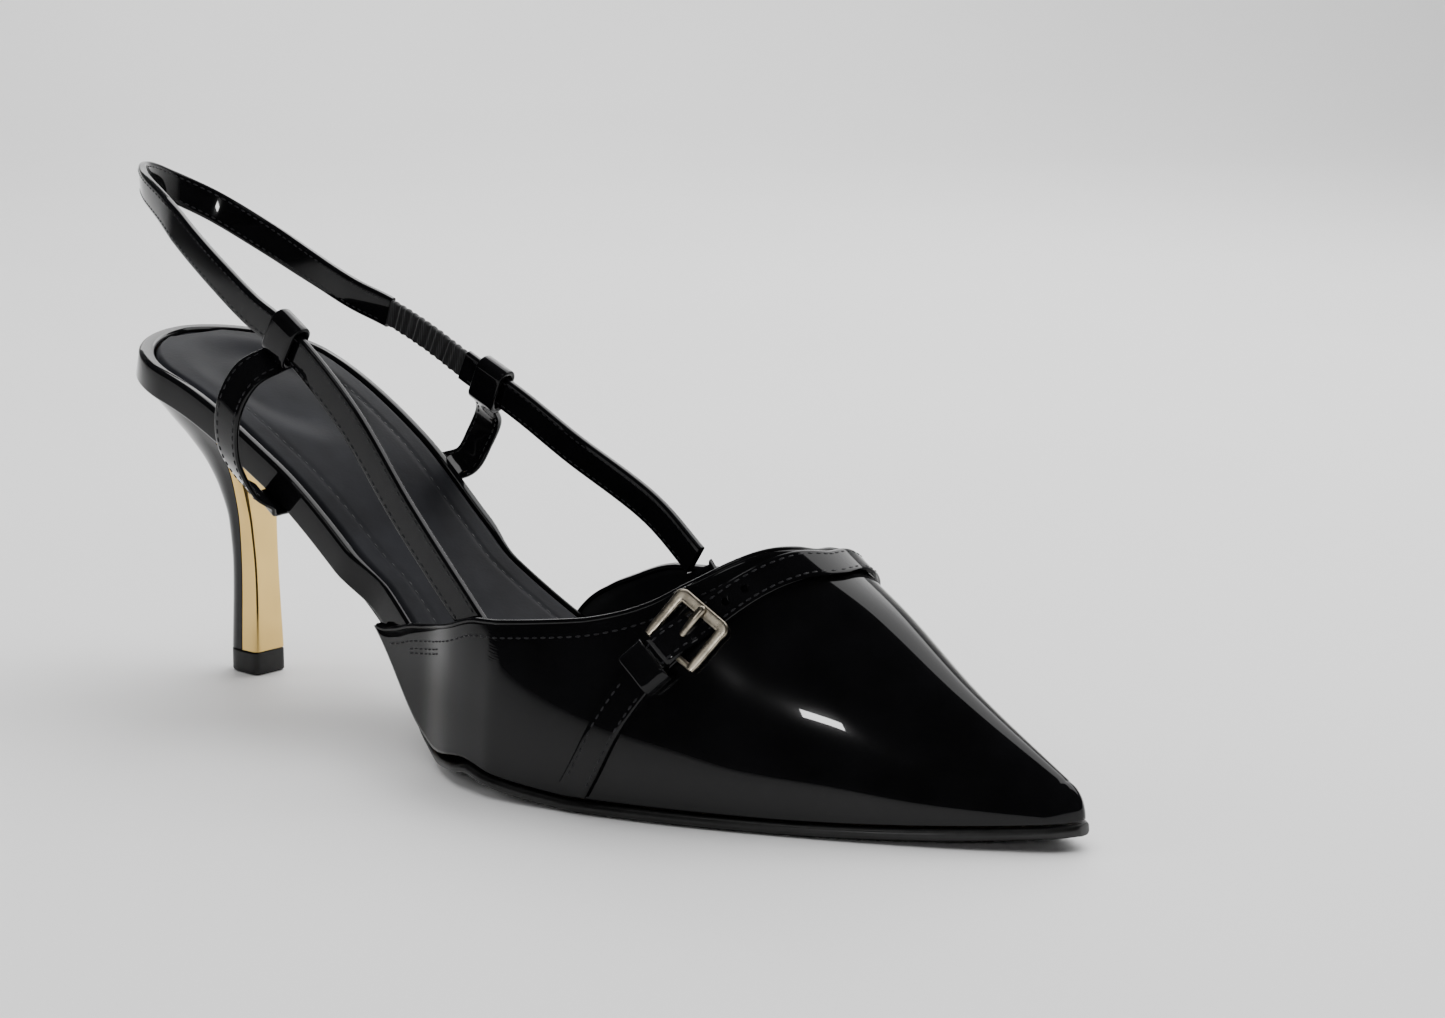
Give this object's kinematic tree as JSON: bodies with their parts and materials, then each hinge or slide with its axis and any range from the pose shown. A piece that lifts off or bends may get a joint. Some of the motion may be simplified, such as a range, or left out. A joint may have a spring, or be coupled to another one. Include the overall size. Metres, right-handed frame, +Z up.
{
  "type": "high heel pump",
  "caption": "Pointed slingback pump with a slim high heel, a buckled strap over the vamp and a half elastic heel strap held by two loops.",
  "frame": {"origin": "middle of the shoe's bounding box, on the floor", "axes": "+X from heel to toe, +Y to the inner side of the foot, +Z up"},
  "size_m": [0.2626, 0.0818, 0.1195],
  "materials": {
    "patent_leather": "patent, high gloss",
    "heel_gloss": "high gloss black lacquer over moulded plastic",
    "gold_plate": "polished gold-coloured plating",
    "top_piece_rubber": "matte",
    "outsole_rubber": "matte",
    "sock_leather": "semi-matte",
    "lining_leather": "matte",
    "foam": "open latex foam",
    "fibreboard": "pressed fibreboard",
    "steel": "plain",
    "antique_metal": "antique, satin polished",
    "elastic_fabric": "ruched woven elastic"
  },
  "bodies": {
    "shoe_body": {"heel_back": "heel_gloss", "heel_breast_plate": "gold_plate", "heel_tube": "steel", "top_piece_dowel": "steel", "top_piece": "top_piece_rubber", "heel_screw": "steel", "heel_nail_back": "steel", "heel_nail_lateral": "steel", "heel_nail_medial": "steel", "heel_nail_front": "steel", "sock_lining": "sock_leather", "insole_foam": "foam", "heel_cushion": "foam", "ball_cushion": "foam", "insole_board": "fibreboard", "bottom_filler": "foam", "shank": "steel", "shank_rivet_rear": "steel", "shank_rivet_front": "steel", "footbed_rand": "patent_leather", "outsole": "outsole_rubber", "vamp_upper": "patent_leather", "vamp_lining": "lining_leather", "toe_puff": "fibreboard", "topline_binding": "patent_leather", "vamp_strap_lower": "patent_leather", "vamp_strap_upper": "patent_leather", "vamp_strap_keeper": "patent_leather", "sling_tab_lateral": "patent_leather", "sling_tab_medial": "patent_leather", "sling_keeper_lateral": "patent_leather", "sling_keeper_medial": "patent_leather"},
    "sling": {"sling_strap_lateral": "patent_leather", "sling_strap_medial": "patent_leather", "sling_elastic": "elastic_fabric"},
    "sling_back": {"sling_heel_strap": "patent_leather"},
    "buckle": {"buckle_frame": "antique_metal", "buckle_pin": "antique_metal"},
    "prong": {"buckle_prong": "antique_metal"}
  },
  "joints": [
    {"name": "sling_swing", "type": "hinge", "parent": "shoe_body", "child": "sling", "pos_m": [0.01443, -0.0009, 0.03597], "axis": [0.2451, 0.9588, 0.1437], "range_deg": [-10, 4], "deforming": ["sling_keeper_lateral", "sling_keeper_medial"]},
    {"name": "sling_stretch", "type": "hinge", "parent": "sling", "child": "sling_back", "pos_m": [-0.04851, -0.03006, 0.08769], "axis": [0.5088, 0, 0.8609], "range_deg": [0, 6], "deforming": ["sling_elastic"]},
    {"name": "buckle_frame_swing", "type": "hinge", "parent": "shoe_body", "child": "buckle", "pos_m": [0.05794, -0.0237, 0.03549], "axis": [0.8039, 0.2096, -0.5566], "range_deg": [0, 14]},
    {"name": "buckle_prong_swing", "type": "hinge", "parent": "buckle", "child": "prong", "pos_m": [0.05794, -0.0237, 0.03549], "axis": [0.8039, 0.2096, -0.5566], "range_deg": [0, 18]}
  ]
}
